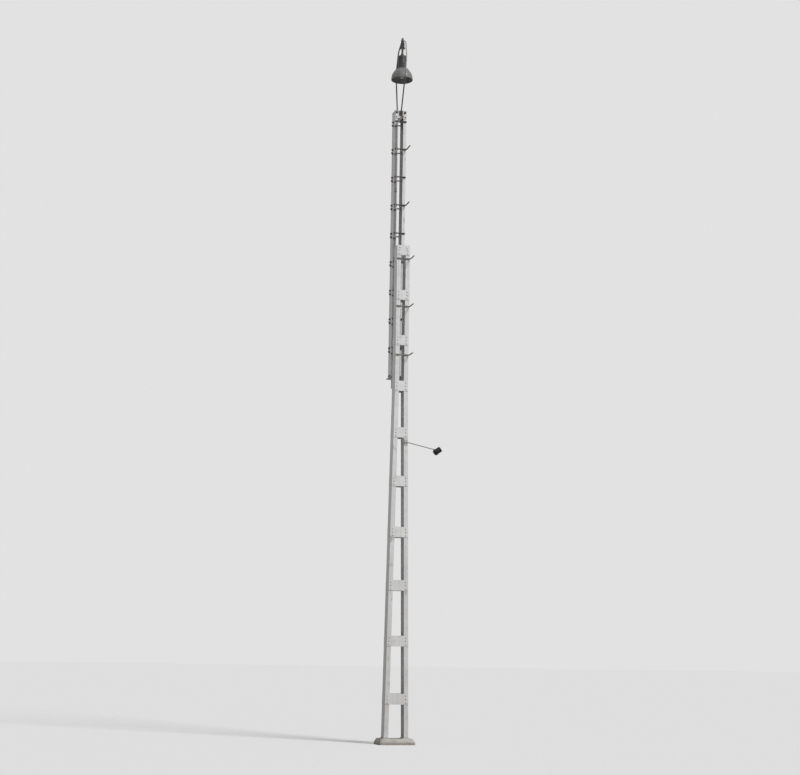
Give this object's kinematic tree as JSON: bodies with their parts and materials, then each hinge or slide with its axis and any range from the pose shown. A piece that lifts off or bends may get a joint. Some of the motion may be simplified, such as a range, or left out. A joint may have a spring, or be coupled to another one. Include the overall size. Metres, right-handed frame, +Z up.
{
  "type": "railway catenary mast with lamp extension",
  "caption": "Battened steel railway mast of two channels, tapered to a knee, with a slim channel extension behind it that carries a hanging lamp in a harp.",
  "frame": {"origin": "centre of the foundation head's flat underside, at ground level", "axes": "+Z up along the mast, +X to the right across the front, -Y out of the front face, +Y towards the extension behind the shaft"},
  "size_m": [1.0658, 1.0614, 12.81],
  "materials": {
    "concrete": "rough weathered concrete",
    "shaft_paint": "matt pale grey paint, weathered",
    "batten_paint": "matt pale grey paint, weathered",
    "extension_paint": "matt grey paint, weathered",
    "bracket_paint": "matt grey paint, rust at the edges",
    "dark_iron": "dark oxidised iron",
    "conduit_coat": "dark grey coat, dull",
    "harp_iron": "dark grey paint, worn",
    "lamp_enamel": "very dark paint, sooty",
    "shade_enamel": "dark grey enamel, dusty",
    "lamp_holder": "dull ceramic",
    "bulb_glass": "frosted glass",
    "drum_paint": "black paint, satin"
  },
  "bodies": {
    "root": {"arm_plate": "bracket_paint", "back_rungs": "dark_iron", "batten_pair_1": "batten_paint", "batten_pair_10": "batten_paint", "batten_pair_2": "batten_paint", "batten_pair_3": "batten_paint", "batten_pair_4": "batten_paint", "batten_pair_5": "batten_paint", "batten_pair_6": "batten_paint", "batten_pair_7": "batten_paint", "batten_pair_8": "batten_paint", "batten_pair_9": "batten_paint", "conduit_gland": "dark_iron", "drum": "drum_paint", "drum_arm": "dark_iron", "drum_band": "drum_paint", "extension_cleats": "bracket_paint", "extension_left_leg": "extension_paint", "extension_right_leg": "extension_paint", "extension_step_irons": "dark_iron", "foundation_head": "concrete", "front_rungs": "dark_iron", "harp_apex": "harp_iron", "harp_back_lug": "harp_iron", "harp_back_rod": "harp_iron", "harp_front_lug": "harp_iron", "harp_front_rod": "harp_iron", "head_back_plate": "extension_paint", "head_cap": "bracket_paint", "head_front_plate": "extension_paint", "knee_shelf": "bracket_paint", "lamp_bulb": "bulb_glass", "lamp_collar": "shade_enamel", "lamp_conduit": "conduit_coat", "lamp_holder": "lamp_holder", "lamp_housing": "lamp_enamel", "lamp_shade": "shade_enamel", "lamp_stem": "lamp_enamel", "left_channel": "shaft_paint", "lower_brackets": "bracket_paint", "right_channel": "shaft_paint", "shaft_step_irons": "dark_iron", "shelf_back_plate": "bracket_paint", "shelf_gussets": "bracket_paint", "upper_brackets": "bracket_paint"}
  },
  "joints": []
}
